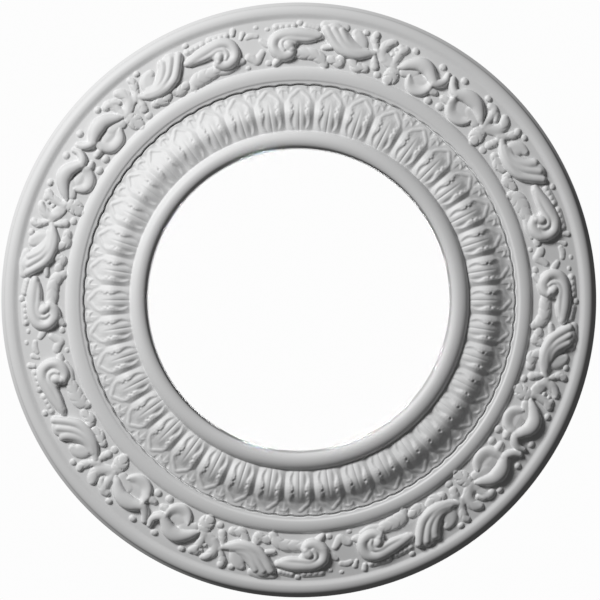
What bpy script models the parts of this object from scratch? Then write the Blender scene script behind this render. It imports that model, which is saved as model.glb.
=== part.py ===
"""Ceiling rose: a ring cast in one piece, with leaves round its opening and a scrolled frieze.

Metres, +Z up. The origin is the centre of the flat back, which lies against the ceiling, so the
ornament hangs below it towards -Z. A height here is a distance down from that back.
"""

import math

import bmesh
import bpy
import numpy as np
from mathutils import Vector
from mathutils.geometry import delaunay_2d_cdt

# Driving dimensions. The outside diameter, 308 mm, is the opening and the five bands round it.
HOLE_DIAMETER = 0.156
INNER_ROLL_WIDTH = 0.0086
LEAF_BAND_WIDTH = 0.0238
MIDDLE_ROLL_WIDTH = 0.0094
FRIEZE_WIDTH = 0.0249
OUTER_ROLL_WIDTH = 0.0093

# Heights of the turned section, from the opening outwards.
HOLE_EDGE_HEIGHT = 0.0168
INNER_ROLL_HEIGHT = 0.0190
LEAF_FOOT_HEIGHT = 0.0149
LEAF_BROW_HEIGHT = 0.0158
GROOVE_HEIGHT = 0.0096
MIDDLE_ROLL_HEIGHT = 0.0111
FRIEZE_INNER_HEIGHT = 0.0086
FRIEZE_OUTER_HEIGHT = 0.0052
OUTER_ROLL_HEIGHT = 0.0058
RIM_SIDE_HEIGHT = 0.0028
RIM_EDGE_HEIGHT = 0.0005

# Carving. A leaf and a scroll are raised this much above the turned section that carries them.
LEAF_COUNT = 40
LEAF_RELIEF = 0.0011
FRIEZE_UNITS = 4
SCROLL_RELIEF = 0.0034

# How the two rows of ornament are turned: one leaf's axis, and the meeting of two scroll tips.
FIRST_LEAF_ANGLE = math.radians(-90.0)
FIRST_UNIT_ANGLE = math.radians(-145.0)

# Facets round each turned edge, and the distance under which two drawn points are one.
SIDES = 72
MERGE = 0.00015

WHITE_PRIMER = (0.80, 0.80, 0.79, 1.0)


def quarter_round(edge, edge_height, crest, crest_height, steps):
    """Points of a quarter ellipse that leaves its edge upright and meets its crest level."""
    turns = [math.radians(90) * step / steps for step in range(steps + 1)]
    return [
        (
            crest + (edge - crest) * math.cos(turn),
            edge_height + (crest_height - edge_height) * math.sin(turn),
        )
        for turn in turns
    ]


# Radii of the bands' edges, from the opening outwards.
HOLE = HOLE_DIAMETER / 2
LEAF_FOOT = HOLE + INNER_ROLL_WIDTH
GROOVE = LEAF_FOOT + LEAF_BAND_WIDTH
FRIEZE = GROOVE + MIDDLE_ROLL_WIDTH
FRIEZE_END = FRIEZE + FRIEZE_WIDTH
RIM = FRIEZE_END + OUTER_ROLL_WIDTH


# Where each roll has its crest, and where the rim's drafted side starts, as shares of its width.
INNER_CREST = 0.40
MIDDLE_CREST = 0.46
OUTER_CREST = 0.31
RIM_SIDE = 0.80

# Where the leaf band starts and ends its fall, as shares of its width, and where the frieze's
# ground bends, as shares of its width and of its fall.
LEAF_BROW = 0.34
LEAF_FALL_END = 0.955
FRIEZE_BEND = 0.35
FRIEZE_BEND_FALL = 0.15


def turned_rows():
    """Radius and height of each turned edge of the face, from the opening to the rim."""
    inner_crest = (HOLE + INNER_CREST * INNER_ROLL_WIDTH, INNER_ROLL_HEIGHT)
    middle_crest = (GROOVE + MIDDLE_CREST * MIDDLE_ROLL_WIDTH, MIDDLE_ROLL_HEIGHT)
    outer_crest = (FRIEZE_END + OUTER_CREST * OUTER_ROLL_WIDTH, OUTER_ROLL_HEIGHT)
    rim_side = FRIEZE_END + RIM_SIDE * OUTER_ROLL_WIDTH
    rows = quarter_round(HOLE, HOLE_EDGE_HEIGHT, *inner_crest, 2)
    rows += quarter_round(LEAF_FOOT, LEAF_FOOT_HEIGHT, *inner_crest, 3)[-2::-1]
    rows += [(GROOVE, GROOVE_HEIGHT), middle_crest]
    rows += quarter_round(FRIEZE, FRIEZE_INNER_HEIGHT, *middle_crest, 2)[-2::-1]
    rows += [(FRIEZE_END, FRIEZE_OUTER_HEIGHT), outer_crest]
    rows += quarter_round(rim_side, RIM_SIDE_HEIGHT, *outer_crest, 2)[-2::-1]
    return rows + [(RIM, RIM_EDGE_HEIGHT)]


ROWS = turned_rows()


def ground(radius):
    """Height of the plain section, without its carving, at a radius."""
    if LEAF_FOOT < radius < GROOVE:
        along = (radius - LEAF_FOOT) / LEAF_BAND_WIDTH
        if along < LEAF_BROW:
            return LEAF_FOOT_HEIGHT + (LEAF_BROW_HEIGHT - LEAF_FOOT_HEIGHT) * along / LEAF_BROW
        fall = min((along - LEAF_BROW) / (LEAF_FALL_END - LEAF_BROW), 1.0)
        return LEAF_BROW_HEIGHT + (GROOVE_HEIGHT - LEAF_BROW_HEIGHT) * fall * fall * (3 - 2 * fall)
    bend_height = FRIEZE_INNER_HEIGHT + (FRIEZE_OUTER_HEIGHT - FRIEZE_INNER_HEIGHT) * FRIEZE_BEND_FALL
    rows = sorted([*ROWS, (FRIEZE + FRIEZE_BEND * FRIEZE_WIDTH, bend_height)])
    return float(np.interp(radius, [row[0] for row in rows], [row[1] for row in rows]))


class Drawing:
    """Points and lines of the face as seen from below, before they are given their heights."""

    def __init__(self):
        self.points = []
        self.raised = []
        self.lines = []

    def line(self, points, raised=None, closed=False):
        first = len(self.points)
        count = len(points)
        self.points += points
        self.raised += raised or [0.0] * count
        self.lines += [(first + i, first + i + 1) for i in range(count - 1)]
        if closed:
            self.lines.append((first + count - 1, first))


def on_the_ring(radius, angle):
    return (radius * math.cos(angle), radius * math.sin(angle))


# One leaf, as shares of the pitch across it and of the leaf band along it, then its rise as a
# share of LEAF_RELIEF. Its right half is given, and the left one is its mirror image.
LEAF_EDGE = [(0.19, 0.05), (0.35, 0.17), (0.41, 0.42), (0.385, 0.65), (0.27, 0.76), (0.15, 0.84)]
LEAF_TIP = (0.0, 0.94)
LEAF_SWELL = [(0.10, 0.12, 0.6), (0.12, 0.28, 1.0), (0.20, 0.48, 1.1), (0.25, 0.66, 0.9)]
LEAF_SLIT = [(0.0, 0.08, 0.1), (0.0, 0.62, 0.4)]
LEAF_LIP = [(0.14, 0.80, 1.1), (0.0, 0.89, 1.3), (-0.14, 0.80, 1.1)]
SHELL_EDGE = [(0.38, 0.97), (0.5, 0.83), (0.62, 0.97)]
SHELL_TOP = (0.5, 0.95, 0.7)


def draw_leaves(drawing):
    """Egg-shaped leaves, each split down its middle, with a small shell between their tips."""
    pitch = math.tau / LEAF_COUNT

    def place(axis, across, along):
        return on_the_ring(LEAF_FOOT + along * LEAF_BAND_WIDTH, axis + across * pitch)

    def line(axis, shape, closed=False):
        points = [place(axis, across, along) for across, along, *_ in shape]
        raised = [(point[2] if len(point) > 2 else 0.0) * LEAF_RELIEF for point in shape]
        drawing.line(points, raised, closed)

    for number in range(LEAF_COUNT):
        axis = FIRST_LEAF_ANGLE + number * pitch
        other_edge = [(-across, along) for across, along in reversed(LEAF_EDGE)]
        line(axis, LEAF_EDGE + [LEAF_TIP] + other_edge, closed=True)
        line(axis, LEAF_SWELL)
        line(axis, [(-across, along, rise) for across, along, rise in LEAF_SWELL])
        line(axis, LEAF_SLIT)
        line(axis, LEAF_LIP)
        line(axis, SHELL_EDGE)
        line(axis, [SHELL_TOP])


# The frieze is drawn on a half unit that is this many band widths long, and 1 wide. Its origin
# is the meeting of two scroll tips, on the frieze's inner edge. The power sets how full the
# rounded section of a ridge is.
HALF_UNIT = 4.16
FULLNESS = 0.5


def smooth(points, steps):
    """Points of a curve that passes through the given ones (Catmull-Rom), steps to each span."""
    ends = [2 * points[0] - points[1], *points, 2 * points[-1] - points[-2]]
    curve = []
    for a, b, c, d in zip(ends, ends[1:], ends[2:], ends[3:]):
        for step in range(steps):
            t = step / steps
            curve.append(0.5 * (2 * b + (c - a) * t + (2 * a - 5 * b + 4 * c - d) * t**2
                                + (3 * b - a - 3 * c + d) * t**3))
    return np.array(curve + [points[-1]])


class Stroke:
    """A raised ridge along a curve: its half width and its rise are given at each point."""

    def __init__(self, points, widths, rises, steps=1, shoulder=0.0):
        shape = smooth(np.column_stack([np.array(points, float), widths, rises]), steps)
        self.path = shape[:, :2]
        self.width = shape[:, 2]
        self.rise = shape[:, 3]
        self.shoulder = shoulder

    def side(self, share):
        """The line beside the path at a share of its half width, positive on its left."""
        forward = np.gradient(self.path, axis=0)
        forward /= np.linalg.norm(forward, axis=1)[:, None]
        left = np.column_stack([-forward[:, 1], forward[:, 0]])
        return self.path + left * (self.width * share)[:, None]

    def end(self, last):
        """The point where the rounded end of the ridge runs out."""
        here, before = (self.path[-1], self.path[-2]) if last else (self.path[0], self.path[1])
        out = (here - before) / np.linalg.norm(here - before)
        return here + out * self.width[-1 if last else 0]

    def lines(self):
        """Its foot as a closed line, then its ridge or its two shoulders."""
        foot = [*self.side(1.0), self.end(True), *self.side(-1.0)[::-1], self.end(False)]
        if self.shoulder:
            top = [*self.side(self.shoulder), *self.side(-self.shoulder)[::-1]]
            return [(foot, True), (top, True)]
        return [(foot, True), (list(self.path), False)]

    def rise_at(self, point):
        """How far the ridge stands up at a point: a rounded section that ends at its foot."""
        a, b = self.path[:-1], self.path[1:]
        span = b - a
        share = np.clip(((point - a) * span).sum(1) / (span * span).sum(1), 0, 1)
        away = np.linalg.norm(point - a - span * share[:, None], axis=1)
        width = self.width[:-1] + (self.width[1:] - self.width[:-1]) * share
        rise = self.rise[:-1] + (self.rise[1:] - self.rise[:-1]) * share
        section = np.clip(1 - (away / width) ** 2, 0, 1) ** FULLNESS
        return float((rise * section).max())


def spiral(centre, outer, inner, start, end, count):
    """A curve round a centre, from its outer radius to its inner one, between two bearings."""
    shares = [i / (count - 1) for i in range(count)]
    turns = [math.radians(start + (end - start) * share) for share in shares]
    reach = [outer + (inner - outer) * share for share in shares]
    return [(centre[0] + r * math.cos(t), centre[1] + r * math.sin(t)) for r, t in zip(reach, turns)]


def half_unit_strokes():
    """The ornament of a half unit, from the scroll tips to the leaves between two volutes."""
    return [
        # The S-scroll, and the crescent that hangs under it between two lumps
        Stroke([(-0.02, 0.79), (0.15, 0.54), (0.58, 0.76), (1.01, 0.42)],
               [0.05, 0.105, 0.115, 0.04], [0.5, 0.9, 1.0, 0.4], 2, 0.6),
        Stroke(spiral((0.51, 0.33), 0.22, 0.22, 145, 370, 6),
               [0.06, 0.08, 0.08, 0.08, 0.075, 0.04], [0.6, 0.65, 0.6, 0.6, 0.6, 0.4]),
        Stroke([(0.03, 0.36), (0.20, 0.32)], [0.08, 0.08], [0.5, 0.5]),
        Stroke([(0.70, 0.44), (0.90, 0.37)], [0.08, 0.08], [0.4, 0.45]),
        # The palmette: three lobes above the knot, a notched lobe and a leaf below it
        Stroke([(1.12, 0.50), (1.12, 0.66), (1.01, 0.83)], [0.05, 0.07, 0.12], [0.4, 0.45, 0.55]),
        Stroke([(1.12, 0.44), (1.34, 0.58), (1.41, 0.74), (1.31, 0.87)],
               [0.06, 0.10, 0.09, 0.08], [0.45, 0.4, 0.5, 0.55]),
        Stroke([(1.55, 0.62), (1.65, 0.76), (1.63, 0.89)], [0.05, 0.07, 0.06], [0.35, 0.45, 0.5]),
        Stroke([(1.07, 0.36), (1.11, 0.19), (1.24, 0.11)], [0.05, 0.13, 0.08], [0.5, 0.55, 0.5]),
        Stroke([(1.52, 0.46), (1.50, 0.29)], [0.05, 0.08], [0.35, 0.45]),
        # The acanthus wing: one long outer ridge and two shorter fingers, with a round lobe
        Stroke([(1.54, 0.55), (1.98, 0.35), (2.44, 0.49), (2.71, 0.86)],
               [0.05, 0.10, 0.10, 0.08], [0.5, 0.85, 0.9, 0.8], 2, 0.5),
        Stroke([(1.92, 0.46), (2.20, 0.51), (2.42, 0.69), (2.52, 0.87)],
               [0.05, 0.075, 0.08, 0.07], [0.65, 0.8, 0.85, 0.8]),
        Stroke([(1.92, 0.53), (2.20, 0.66), (2.32, 0.86)], [0.05, 0.075, 0.07], [0.5, 0.75, 0.75]),
        Stroke([(1.84, 0.60), (1.88, 0.72), (2.00, 0.78)], [0.09, 0.13, 0.07], [0.35, 0.4, 0.4]),
        # Two leaflets below the wing, and the long leaf beside them
        Stroke([(1.76, 0.21), (1.90, 0.16), (2.06, 0.21)], [0.06, 0.09, 0.05], [0.45, 0.45, 0.4]),
        Stroke([(2.26, 0.22), (2.38, 0.16), (2.54, 0.20)], [0.06, 0.09, 0.05], [0.45, 0.45, 0.4]),
        Stroke([(2.66, 0.09), (2.82, 0.20), (3.06, 0.24), (3.26, 0.27)],
               [0.05, 0.13, 0.12, 0.05], [0.4, 0.5, 0.5, 0.45]),
        # The volute: its stem, its turn and its eye
        Stroke([(2.74, 0.63), (3.05, 0.64)] + spiral((3.46, 0.46), 0.27, 0.13, 100, -180, 6),
               [0.06, 0.08, 0.09, 0.10, 0.10, 0.095, 0.085, 0.06],
               [0.55, 0.65, 0.8, 0.85, 0.85, 0.85, 0.9, 0.9], 1, 0.5),
        Stroke([(3.38, 0.45), (3.42, 0.49)], [0.09, 0.08], [1.15, 1.15]),
        # The small leaves that close the unit
        Stroke([(3.79, 0.80), (3.84, 0.91)], [0.04, 0.05], [0.35, 0.35]),
        Stroke([(3.93, 0.71), (4.00, 0.83)], [0.04, 0.05], [0.3, 0.35]),
        Stroke([(4.02, 0.33), (4.10, 0.25)], [0.08, 0.08], [0.35, 0.35]),
    ]


STROKES = half_unit_strokes()
UNIT_ANGLE = math.tau / FRIEZE_UNITS


def draw_frieze(drawing):
    """Each unit is two half units, one the mirror image of the other."""
    for unit in range(FRIEZE_UNITS):
        for side in (1, -1):
            for stroke in STROKES:
                for points, closed in stroke.lines():
                    placed = []
                    for along, across in points:
                        angle = FIRST_UNIT_ANGLE + unit * UNIT_ANGLE
                        angle += side * along / HALF_UNIT * UNIT_ANGLE / 2
                        placed.append(on_the_ring(FRIEZE + across * FRIEZE_WIDTH, angle))
                    drawing.line(placed, closed=closed)


def frieze_rise(radius, angle):
    """The tallest stroke at a place on the frieze, of its own half unit or of the next ones."""
    turned = (angle - FIRST_UNIT_ANGLE) % UNIT_ANGLE
    along = min(turned, UNIT_ANGLE - turned) / (UNIT_ANGLE / 2) * HALF_UNIT
    across = (radius - FRIEZE) / FRIEZE_WIDTH
    places = [np.array((x, across)) for x in (along, -along, 2 * HALF_UNIT - along)]
    return max(stroke.rise_at(place) for stroke in STROKES for place in places) * SCROLL_RELIEF


def make_face():
    """The carved face as a sheet: every outline and ridge is an edge of it."""
    drawing = Drawing()
    step = math.tau / SIDES
    for radius, _height in ROWS:
        drawing.line([on_the_ring(radius, i * step) for i in range(SIDES)], closed=True)
    draw_leaves(drawing)
    draw_frieze(drawing)

    flat = [Vector(point) for point in drawing.points]
    points, _edges, faces, sources, *_ = delaunay_2d_cdt(flat, drawing.lines, [], 0, MERGE)

    sheet = bmesh.new()
    verts = []
    for point, source in zip(points, sources):
        radius = point.length
        height = ground(radius)
        if FRIEZE < radius < FRIEZE_END:
            height += frieze_rise(radius, math.atan2(point.y, point.x))
        elif source:
            height += max(drawing.raised[number] for number in source)
        verts.append(sheet.verts.new((point.x, point.y, -height)))
    for face in faces:
        middle = sum((points[number] for number in face), Vector((0.0, 0.0))) / len(face)
        off_corner = (math.atan2(middle.y, middle.x) % step) - step / 2
        if middle.length * math.cos(off_corner) > HOLE * math.cos(step / 2):
            sheet.faces.new([verts[number] for number in face])
    loose = [vert for vert in sheet.verts if not vert.link_faces]
    bmesh.ops.delete(sheet, geom=loose, context="VERTS")
    return sheet


def close_back(sheet):
    """Walls from the sheet's two borders up to the ceiling, and the flat back between them."""
    borders = [edge for edge in sheet.edges if edge.is_boundary]
    walls = bmesh.ops.extrude_edge_only(sheet, edges=borders)["geom"]
    for vert in walls:
        if isinstance(vert, bmesh.types.BMVert):
            vert.co.z = 0.0
    back = [edge for edge in walls if isinstance(edge, bmesh.types.BMEdge) and edge.is_boundary]
    bmesh.ops.bridge_loops(sheet, edges=back)
    bmesh.ops.recalc_face_normals(sheet, faces=sheet.faces)


def white_primer():
    material = bpy.data.materials.new("white_primer")
    material.use_nodes = True
    shader = material.node_tree.nodes["Principled BSDF"]
    shader.inputs["Base Color"].default_value = WHITE_PRIMER
    shader.inputs["Roughness"].default_value = 0.6
    shader.inputs["Metallic"].default_value = 0.0
    return material


def make_rose():
    sheet = make_face()
    close_back(sheet)
    mesh = bpy.data.meshes.new("ceiling_rose")
    sheet.to_mesh(mesh)
    sheet.free()
    mesh.materials.append(white_primer())
    mesh.shade_smooth()
    mesh.set_sharp_from_angle(angle=math.radians(40))
    rose = bpy.data.objects.new("ceiling_rose", mesh)
    bpy.context.scene.collection.objects.link(rose)


for old in list(bpy.data.objects):
    bpy.data.objects.remove(old)
make_rose()
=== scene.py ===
"""Looks of the ceiling rose: one white primed casting, seen from straight below as on a ceiling.

The carved face looks down -Z, and -Y is the top of the picture. Lengths in a section's tables
are in millimetres, and its meshes are in metres. A height is measured down from the flat back.
"""

import copy
import math

import bmesh
import bpy
import numpy as np
from mathutils import Matrix, Vector


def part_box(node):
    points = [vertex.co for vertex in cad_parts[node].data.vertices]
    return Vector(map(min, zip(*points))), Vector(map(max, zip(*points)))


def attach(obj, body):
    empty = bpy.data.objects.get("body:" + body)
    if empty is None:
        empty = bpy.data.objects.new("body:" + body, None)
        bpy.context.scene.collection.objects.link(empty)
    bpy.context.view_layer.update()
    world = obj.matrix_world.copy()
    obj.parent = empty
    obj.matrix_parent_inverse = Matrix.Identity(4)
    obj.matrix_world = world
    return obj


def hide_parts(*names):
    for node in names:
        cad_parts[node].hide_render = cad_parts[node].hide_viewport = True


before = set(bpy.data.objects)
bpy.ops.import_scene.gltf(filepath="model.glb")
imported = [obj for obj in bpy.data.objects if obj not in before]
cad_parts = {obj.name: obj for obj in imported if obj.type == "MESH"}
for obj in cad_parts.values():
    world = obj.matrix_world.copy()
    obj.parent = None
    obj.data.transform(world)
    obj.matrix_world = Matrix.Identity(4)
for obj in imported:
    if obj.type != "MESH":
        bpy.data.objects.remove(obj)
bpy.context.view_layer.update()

# The view. The picture was taken from straight below the ring's centre with a long lens, and
# the ring nearly fills it, a hair left of the middle.
SENSOR_WIDTH = 0.036
LENS = 135
RING_IN_FRAME = 594.7 / 600
OFF_CENTRE = Vector((0.00063, 0.00005, 0.0))

low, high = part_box("ceiling_rose")
camera_below = (high.x - low.x) / RING_IN_FRAME * LENS / 1000 / SENSOR_WIDTH
camera = bpy.data.objects.new("camera_below", bpy.data.cameras.new("camera_below"))
camera.data.lens = LENS
camera.data.sensor_width = SENSOR_WIDTH * 1000
camera.location = Vector((0.0, 0.0, -camera_below)) + OFF_CENTRE
camera.rotation_euler = (math.pi, 0.0, 0.0)
bpy.context.scene.collection.objects.link(camera)
bpy.context.scene.camera = camera
bpy.context.scene.view_settings.view_transform = "Standard"

# The room. One broad lamp stands low to one side and rakes across the face, as in a studio. A
# second light, straight above, lights what faces up: the back and the pale, plain floor.
KEY_BEARING = math.radians(138)
KEY_ELEVATION = math.radians(36)
KEY_DISTANCE = 3.2
KEY_SIZE = 0.8
KEY_POWER = 98
OVERHEAD_STRENGTH = 2.6
FILL_LIGHT = 0.055
BACKDROP_LIGHT = 0.98
FLOOR_DEPTH = 2.6
FLOOR_SIZE = 40
FLOOR_COLOUR = (0.62, 0.62, 0.61, 1.0)
FLOOR_ROUGHNESS = 0.9
WHITE = (1.0, 1.0, 1.0, 1.0)
OVERHEAD_ANGLE = math.radians(1)

key_direction = Vector((
    math.cos(KEY_BEARING) * math.cos(KEY_ELEVATION),
    -math.sin(KEY_BEARING) * math.cos(KEY_ELEVATION),
    -math.sin(KEY_ELEVATION),
))
key_lamp = bpy.data.objects.new("key_lamp", bpy.data.lights.new("key_lamp", "AREA"))
key_lamp.data.size = KEY_SIZE
key_lamp.data.energy = KEY_POWER
key_lamp.location = key_direction * KEY_DISTANCE
key_lamp.rotation_euler = key_direction.to_track_quat("Z", "Y").to_euler()
bpy.context.scene.collection.objects.link(key_lamp)

overhead_lamp = bpy.data.objects.new("overhead_lamp", bpy.data.lights.new("overhead_lamp", "SUN"))
overhead_lamp.data.energy = OVERHEAD_STRENGTH
overhead_lamp.data.angle = OVERHEAD_ANGLE
bpy.context.scene.collection.objects.link(overhead_lamp)

world = bpy.data.worlds.new("studio")
world.use_nodes = True
nodes, links = world.node_tree.nodes, world.node_tree.links
backdrop = nodes["Background"]
backdrop.inputs["Color"].default_value = WHITE
backdrop.inputs["Strength"].default_value = BACKDROP_LIGHT
fill = nodes.new("ShaderNodeBackground")
fill.inputs["Color"].default_value = WHITE
fill.inputs["Strength"].default_value = FILL_LIGHT
seen = nodes.new("ShaderNodeLightPath")
either = nodes.new("ShaderNodeMixShader")
links.new(seen.outputs["Is Camera Ray"], either.inputs["Fac"])
links.new(fill.outputs["Background"], either.inputs[1])
links.new(backdrop.outputs["Background"], either.inputs[2])
links.new(either.outputs["Shader"], nodes["World Output"].inputs["Surface"])
bpy.context.scene.world = world

sheet = bmesh.new()
bmesh.ops.create_grid(sheet, x_segments=1, y_segments=1, size=FLOOR_SIZE / 2)
bmesh.ops.translate(sheet, verts=sheet.verts, vec=(0.0, 0.0, -FLOOR_DEPTH))
floor = bpy.data.objects.new("floor", bpy.data.meshes.new("floor"))
sheet.to_mesh(floor.data)
sheet.free()
floor_paint = bpy.data.materials.new("pale_floor")
floor_paint.use_nodes = True
floor_shader = floor_paint.node_tree.nodes["Principled BSDF"]
floor_shader.inputs["Base Color"].default_value = FLOOR_COLOUR
floor_shader.inputs["Roughness"].default_value = FLOOR_ROUGHNESS
floor.data.materials.append(floor_paint)
floor.visible_diffuse = False
floor.visible_glossy = False
bpy.context.scene.collection.objects.link(floor)

# The finish. The casting is rigid foam with a thin coat of white primer, sprayed on: matt, a
# little duller and whiter where the spray built up, with a very fine orange peel.
PRIMER = (0.80, 0.80, 0.80, 1.0)
PRIMER_THIN = (0.765, 0.768, 0.77, 1.0)
PRIMER_ROUGHNESS = 0.52
PRIMER_SHEEN = 0.35
CLOUD_SCALE = 22.0
SPECKLE_SCALE = 900.0
PEEL_SCALE = 520.0
SWELL_SCALE = 60.0
SWELL_SHARE = 1.6
CLOUD_COVER = 0.65
CLOUD_DULLING = 0.10
SPECKLE_DULLING = 0.06
PEEL_DEPTH = 0.00005
PEEL_STRENGTH = 0.35


class Value:
    """One socket of a material, so that its maths is written as a sum."""

    def __init__(self, tree, socket=None):
        self.tree = tree
        self.socket = socket

    def node(self, kind, settings=None, inputs=None, output=0):
        """Any node: its settings are set first, and then its sockets are filled or joined."""
        made = self.tree.nodes.new(kind)
        for name, value in (settings or {}).items():
            setattr(made, name, value)
        for name, value in (inputs or {}).items():
            if isinstance(value, Value):
                self.tree.links.new(value.socket, made.inputs[name])
            else:
                made.inputs[name].default_value = value
        return Value(self.tree, made.outputs[output])

    def maths(self, operation, first, second):
        return self.node("ShaderNodeMath", {"operation": operation}, {0: first, 1: second})

    def __add__(self, other):
        return self.maths("ADD", self, other)

    def __sub__(self, other):
        return self.maths("SUBTRACT", self, other)

    def __rsub__(self, other):
        return self.maths("SUBTRACT", other, self)

    def __mul__(self, other):
        return self.maths("MULTIPLY", self, other)

    __radd__ = __add__
    __rmul__ = __mul__

    def noise(self, place, scale, detail, roughness=0.5):
        inputs = {"Vector": place, "Scale": scale, "Detail": detail, "Roughness": roughness}
        return self.node("ShaderNodeTexNoise", {}, inputs)


def white_primer():
    """The sprayed coat: slightly clouded and speckled, with a fine orange peel."""
    material = bpy.data.materials.new("white_primer")
    material.use_nodes = True
    tree = material.node_tree
    shader = tree.nodes["Principled BSDF"]
    start = Value(tree)
    place = start.node("ShaderNodeTexCoord", output=3)
    cloud = start.noise(place, CLOUD_SCALE, 3.0)
    speckle = start.noise(place, SPECKLE_SCALE, 2.0)
    peel = start.noise(place, PEEL_SCALE, 3.0, 0.6)
    swell = start.noise(place, SWELL_SCALE, 2.0)
    cover = CLOUD_COVER * cloud + (1 - CLOUD_COVER) * speckle
    colour = start.node(
        "ShaderNodeMix",
        {"data_type": "RGBA"},
        {0: cover, 6: PRIMER_THIN, 7: PRIMER},
        output=2,
    )
    dulling = CLOUD_DULLING * (cloud - 0.5) + SPECKLE_DULLING * (speckle - 0.5)
    roughness = PRIMER_ROUGHNESS + dulling
    height = peel + SWELL_SHARE * swell
    bump = start.node(
        "ShaderNodeBump",
        {},
        {"Strength": PEEL_STRENGTH, "Distance": PEEL_DEPTH, "Height": height},
    )
    tree.links.new(colour.socket, shader.inputs["Base Color"])
    tree.links.new(roughness.socket, shader.inputs["Roughness"])
    tree.links.new(bump.socket, shader.inputs["Normal"])
    shader.inputs["Specular IOR Level"].default_value = PRIMER_SHEEN
    return material


PRIMER_COAT = white_primer()

# The plain body: the hole's wall, the inner half of the roll round it, the outer half of the
# outer roll, the rim and the flat back that is glued to the ceiling. It is turned in one piece,
# with a seat behind each band of carving.
HOLE = 78.0
HOLE_EDGE_HEIGHT = 16.8
INNER_CREST = (81.44, 19.0)
LEAF_FOOT = (86.6, 14.85)
GROOVE = (110.4, 9.6)
LEAF_BOW = [LEAF_FOOT, (90.0, 15.03), (94.0, 15.62), (97.0, 15.4), (100.5, 13.85), (104.0, 11.7),
            (107.5, 10.05), GROOVE]
MIDDLE_CREST = (114.72, 11.22)
MIDDLE_FOOT = [(111.3, 10.55), (111.9, 10.62), (112.35, 10.66), (112.6, 10.72), (112.85, 10.9),
               (113.1, 11.06), (113.5, 11.15), (114.1, 11.2), MIDDLE_CREST]
FRIEZE = (119.8, 8.6)
FRIEZE_BEND = (128.52, 8.09)
FRIEZE_END = (144.7, 5.2)
OUTER_CREST = (147.58, 5.8)
RIM_SIDE = (152.14, 2.8)
RIM = (154.0, 0.5)
ARRIS = 0.4
LEAF_SEAT = 5.0
FRIEZE_SEAT = 2.5
BODY_STEPS = 360
SHARP_BEND = math.radians(35)
SECTION_STEP = 0.02
SECTION_BLUR = 31
FIRST_ROW = 0.03
MM = 0.001


def curve(points, steps=5):
    """A smooth line through points that have any number of values each (Catmull-Rom)."""
    rows = np.array(points, float)
    rows = np.vstack([2 * rows[0] - rows[1], rows, 2 * rows[-1] - rows[-2]])
    t = np.arange(steps)[:, None] / steps
    spans = [
        0.5 * (2 * b + (c - a) * t + (2 * a - 5 * b + 4 * c - d) * t**2
               + (3 * b - a - 3 * c + d) * t**3)
        for a, b, c, d in zip(rows, rows[1:], rows[2:], rows[3:])
    ]
    return np.vstack([*spans, rows[-2:-1]])


def along(stations, place):
    """A value that runs smoothly through its stations."""
    line = curve(stations)
    return np.interp(place, line[:, 0], line[:, 1])


def roll_side(radius, crest, foot):
    """Height of a quarter round, level at its crest and upright at its foot."""
    share = np.clip((radius - crest[0]) / (foot[0] - crest[0]), 0, 1)
    return foot[1] + (crest[1] - foot[1]) * np.sqrt(1 - share**2)


def eased(radius, start, end):
    """Height of a fall or a rise that is level at both its ends."""
    share = np.clip((radius - start[0]) / (end[0] - start[0]), 0, 1)
    return start[1] + (end[1] - start[1]) * share**2 * (3 - 2 * share)


def turned_section():
    """The face's section before carving, with the small hollows that casting leaves in corners."""
    radius = np.arange(HOLE, RIM[0] + 2.0, SECTION_STEP)
    height = np.select(
        [
            radius < INNER_CREST[0],
            radius < LEAF_FOOT[0],
            radius < GROOVE[0],
            radius < MIDDLE_CREST[0],
            radius < FRIEZE[0],
            radius < FRIEZE_END[0],
            radius < OUTER_CREST[0],
            radius < RIM_SIDE[0],
        ],
        [
            roll_side(radius, INNER_CREST, (HOLE, HOLE_EDGE_HEIGHT)),
            roll_side(radius, INNER_CREST, LEAF_FOOT),
            along(LEAF_BOW, radius),
            along(MIDDLE_FOOT, radius),
            roll_side(radius, MIDDLE_CREST, FRIEZE),
            np.interp(radius, *zip(FRIEZE, FRIEZE_BEND, FRIEZE_END)),
            eased(radius, FRIEZE_END, OUTER_CREST),
            roll_side(radius, OUTER_CREST, RIM_SIDE),
        ],
        RIM_SIDE[1] + (RIM[1] - RIM_SIDE[1]) * (radius - RIM_SIDE[0]) / (RIM[0] - RIM_SIDE[0]),
    )
    soft = np.hanning(SECTION_BLUR)
    padded = np.pad(height, SECTION_BLUR // 2, mode="edge")
    return radius, np.convolve(padded, soft / soft.sum(), mode="valid")


SECTION_RADIUS, SECTION_HEIGHT = turned_section()


def section(radius):
    """Height of the uncarved face at a radius."""
    return np.interp(radius, SECTION_RADIUS, SECTION_HEIGHT)


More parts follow.
